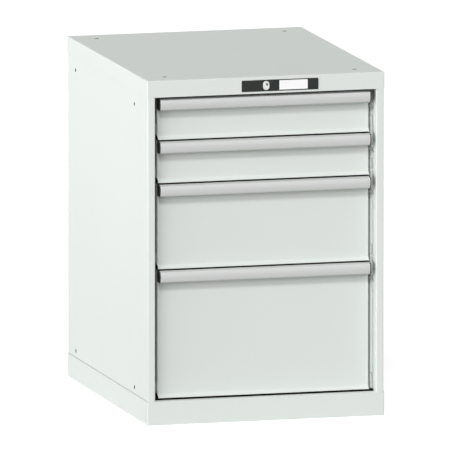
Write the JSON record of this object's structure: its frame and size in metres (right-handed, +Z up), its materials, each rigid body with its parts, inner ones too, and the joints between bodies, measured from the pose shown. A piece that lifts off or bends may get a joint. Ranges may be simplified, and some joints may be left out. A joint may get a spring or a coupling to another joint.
{
  "type": "workshop drawer cabinet",
  "caption": "Steel drawer cabinet with full-extension drawers of graded height, bow handles, a lock in the top rim, a plinth and a bolt-on top cover.",
  "frame": {"origin": "centre of the foot print, on the floor", "axes": "+X to the right seen from the front, +Y to the back, +Z up"},
  "size_m": [0.564, 0.7269, 0.8],
  "materials": {
    "paint": "light grey powder coat, fine texture, satin",
    "front_paint": "light grey powder coat, satin",
    "handle_metal": "satin anodised extrusion",
    "black_plastic": "black moulded, fine texture",
    "bezel_plastic": "black moulded, satin",
    "card": "white name card under a clear film",
    "lock_metal": "nickel plated",
    "zinc_steel": "zinc plated",
    "wheel_plastic": "natural nylon"
  },
  "bodies": {
    "housing": {"side_wall_left": "paint", "side_wall_right": "paint", "back_wall": "paint", "floor_panel": "paint", "base_plinth": "paint", "top_cover": "paint", "slotted_uprights": "zinc_steel", "lock_bezel": "bezel_plastic", "name_card": "card", "lock_body": "lock_metal", "lock_guides": "zinc_steel", "fixed_rails_1": "zinc_steel", "fixed_rails_2": "zinc_steel", "fixed_rails_3": "zinc_steel", "fixed_rails_4": "zinc_steel"},
    "locking_bar": {"locking_bar": "zinc_steel"},
    "transfer_bar": {"transfer_bar": "zinc_steel"},
    "lock_cylinder": {"lock_plug": "lock_metal", "lock_crank": "zinc_steel"},
    "drawer_1": {"drawer_tray_1": "front_paint", "drawer_front_1": "front_paint", "handle_1": "handle_metal", "handle_caps_1": "black_plastic", "drawer_rails_1": "zinc_steel"},
    "carriage_1": {"carriage_1": "zinc_steel"},
    "front_wheels_1": {"front_wheels_1": "wheel_plastic"},
    "middle_wheels_1": {"middle_wheels_1": "wheel_plastic"},
    "rear_wheels_1": {"rear_wheels_1": "wheel_plastic"},
    "drawer_2": {"drawer_tray_2": "front_paint", "drawer_front_2": "front_paint", "handle_2": "handle_metal", "handle_caps_2": "black_plastic", "drawer_rails_2": "zinc_steel"},
    "carriage_2": {"carriage_2": "zinc_steel"},
    "front_wheels_2": {"front_wheels_2": "wheel_plastic"},
    "middle_wheels_2": {"middle_wheels_2": "wheel_plastic"},
    "rear_wheels_2": {"rear_wheels_2": "wheel_plastic"},
    "drawer_3": {"drawer_tray_3": "front_paint", "drawer_front_3": "front_paint", "handle_3": "handle_metal", "handle_caps_3": "black_plastic", "drawer_rails_3": "zinc_steel"},
    "carriage_3": {"carriage_3": "zinc_steel"},
    "front_wheels_3": {"front_wheels_3": "wheel_plastic"},
    "middle_wheels_3": {"middle_wheels_3": "wheel_plastic"},
    "rear_wheels_3": {"rear_wheels_3": "wheel_plastic"},
    "drawer_4": {"drawer_tray_4": "front_paint", "drawer_front_4": "front_paint", "handle_4": "handle_metal", "handle_caps_4": "black_plastic", "drawer_rails_4": "zinc_steel"},
    "carriage_4": {"carriage_4": "zinc_steel"},
    "front_wheels_4": {"front_wheels_4": "wheel_plastic"},
    "middle_wheels_4": {"middle_wheels_4": "wheel_plastic"},
    "rear_wheels_4": {"rear_wheels_4": "wheel_plastic"}
  },
  "joints": [
    {"name": "locking_bar_lift", "type": "slide", "parent": "housing", "child": "locking_bar", "axis": [0, 0, 1], "range_m": [0, 0.01414]},
    {"name": "transfer_bar_slide", "type": "slide", "parent": "housing", "child": "transfer_bar", "axis": [1, 0, 0], "range_m": [0, 0.01415]},
    {"name": "lock_turn", "type": "hinge", "parent": "housing", "child": "lock_cylinder", "pos_m": [0, -0.3625, 0.78235], "axis": [0, 1, 0], "range_deg": [0, 90]},
    {"name": "drawer_1_slide", "type": "slide", "parent": "housing", "child": "drawer_1", "axis": [0, -1, 0], "range_m": [0, 0.6]},
    {"name": "carriage_1_slide", "type": "slide", "parent": "housing", "child": "carriage_1", "axis": [0, -1, 0], "range_m": [0, 0.3]},
    {"name": "front_wheels_1_spin", "type": "hinge", "parent": "carriage_1", "child": "front_wheels_1", "pos_m": [0, -0.2955, 0.6828], "axis": [1, 0, 0], "range_deg": [0, 1563]},
    {"name": "middle_wheels_1_spin", "type": "hinge", "parent": "carriage_1", "child": "middle_wheels_1", "pos_m": [0, -0.0055, 0.6828], "axis": [1, 0, 0], "range_deg": [0, 1563]},
    {"name": "rear_wheels_1_spin", "type": "hinge", "parent": "carriage_1", "child": "rear_wheels_1", "pos_m": [0, 0.2705, 0.6828], "axis": [1, 0, 0], "range_deg": [0, 1563]},
    {"name": "drawer_2_slide", "type": "slide", "parent": "housing", "child": "drawer_2", "axis": [0, -1, 0], "range_m": [0, 0.6]},
    {"name": "carriage_2_slide", "type": "slide", "parent": "housing", "child": "carriage_2", "axis": [0, -1, 0], "range_m": [0, 0.3]},
    {"name": "front_wheels_2_spin", "type": "hinge", "parent": "carriage_2", "child": "front_wheels_2", "pos_m": [0, -0.2955, 0.5828], "axis": [1, 0, 0], "range_deg": [0, 1563]},
    {"name": "middle_wheels_2_spin", "type": "hinge", "parent": "carriage_2", "child": "middle_wheels_2", "pos_m": [0, -0.0055, 0.5828], "axis": [1, 0, 0], "range_deg": [0, 1563]},
    {"name": "rear_wheels_2_spin", "type": "hinge", "parent": "carriage_2", "child": "rear_wheels_2", "pos_m": [0, 0.2705, 0.5828], "axis": [1, 0, 0], "range_deg": [0, 1563]},
    {"name": "drawer_3_slide", "type": "slide", "parent": "housing", "child": "drawer_3", "axis": [0, -1, 0], "range_m": [0, 0.6]},
    {"name": "carriage_3_slide", "type": "slide", "parent": "housing", "child": "carriage_3", "axis": [0, -1, 0], "range_m": [0, 0.3]},
    {"name": "front_wheels_3_spin", "type": "hinge", "parent": "carriage_3", "child": "front_wheels_3", "pos_m": [0, -0.2955, 0.3828], "axis": [1, 0, 0], "range_deg": [0, 1563]},
    {"name": "middle_wheels_3_spin", "type": "hinge", "parent": "carriage_3", "child": "middle_wheels_3", "pos_m": [0, -0.0055, 0.3828], "axis": [1, 0, 0], "range_deg": [0, 1563]},
    {"name": "rear_wheels_3_spin", "type": "hinge", "parent": "carriage_3", "child": "rear_wheels_3", "pos_m": [0, 0.2705, 0.3828], "axis": [1, 0, 0], "range_deg": [0, 1563]},
    {"name": "drawer_4_slide", "type": "slide", "parent": "housing", "child": "drawer_4", "axis": [0, -1, 0], "range_m": [0, 0.6]},
    {"name": "carriage_4_slide", "type": "slide", "parent": "housing", "child": "carriage_4", "axis": [0, -1, 0], "range_m": [0, 0.3]},
    {"name": "front_wheels_4_spin", "type": "hinge", "parent": "carriage_4", "child": "front_wheels_4", "pos_m": [0, -0.2955, 0.0828], "axis": [1, 0, 0], "range_deg": [0, 1563]},
    {"name": "middle_wheels_4_spin", "type": "hinge", "parent": "carriage_4", "child": "middle_wheels_4", "pos_m": [0, -0.0055, 0.0828], "axis": [1, 0, 0], "range_deg": [0, 1563]},
    {"name": "rear_wheels_4_spin", "type": "hinge", "parent": "carriage_4", "child": "rear_wheels_4", "pos_m": [0, 0.2705, 0.0828], "axis": [1, 0, 0], "range_deg": [0, 1563]}
  ],
  "couplings": [
    {"joint": "transfer_bar_slide", "follows": "locking_bar_lift", "ratio": 1},
    {"joint": "lock_turn", "follows": "locking_bar_lift", "rad_per_m": 111},
    {"joint": "carriage_1_slide", "follows": "drawer_1_slide", "ratio": 0.5},
    {"joint": "front_wheels_1_spin", "follows": "drawer_1_slide", "rad_per_m": 45.455},
    {"joint": "middle_wheels_1_spin", "follows": "drawer_1_slide", "rad_per_m": 45.455},
    {"joint": "rear_wheels_1_spin", "follows": "drawer_1_slide", "rad_per_m": 45.455},
    {"joint": "carriage_2_slide", "follows": "drawer_2_slide", "ratio": 0.5},
    {"joint": "front_wheels_2_spin", "follows": "drawer_2_slide", "rad_per_m": 45.455},
    {"joint": "middle_wheels_2_spin", "follows": "drawer_2_slide", "rad_per_m": 45.455},
    {"joint": "rear_wheels_2_spin", "follows": "drawer_2_slide", "rad_per_m": 45.455},
    {"joint": "carriage_3_slide", "follows": "drawer_3_slide", "ratio": 0.5},
    {"joint": "front_wheels_3_spin", "follows": "drawer_3_slide", "rad_per_m": 45.455},
    {"joint": "middle_wheels_3_spin", "follows": "drawer_3_slide", "rad_per_m": 45.455},
    {"joint": "rear_wheels_3_spin", "follows": "drawer_3_slide", "rad_per_m": 45.455},
    {"joint": "carriage_4_slide", "follows": "drawer_4_slide", "ratio": 0.5},
    {"joint": "front_wheels_4_spin", "follows": "drawer_4_slide", "rad_per_m": 45.455},
    {"joint": "middle_wheels_4_spin", "follows": "drawer_4_slide", "rad_per_m": 45.455},
    {"joint": "rear_wheels_4_spin", "follows": "drawer_4_slide", "rad_per_m": 45.455}
  ]
}
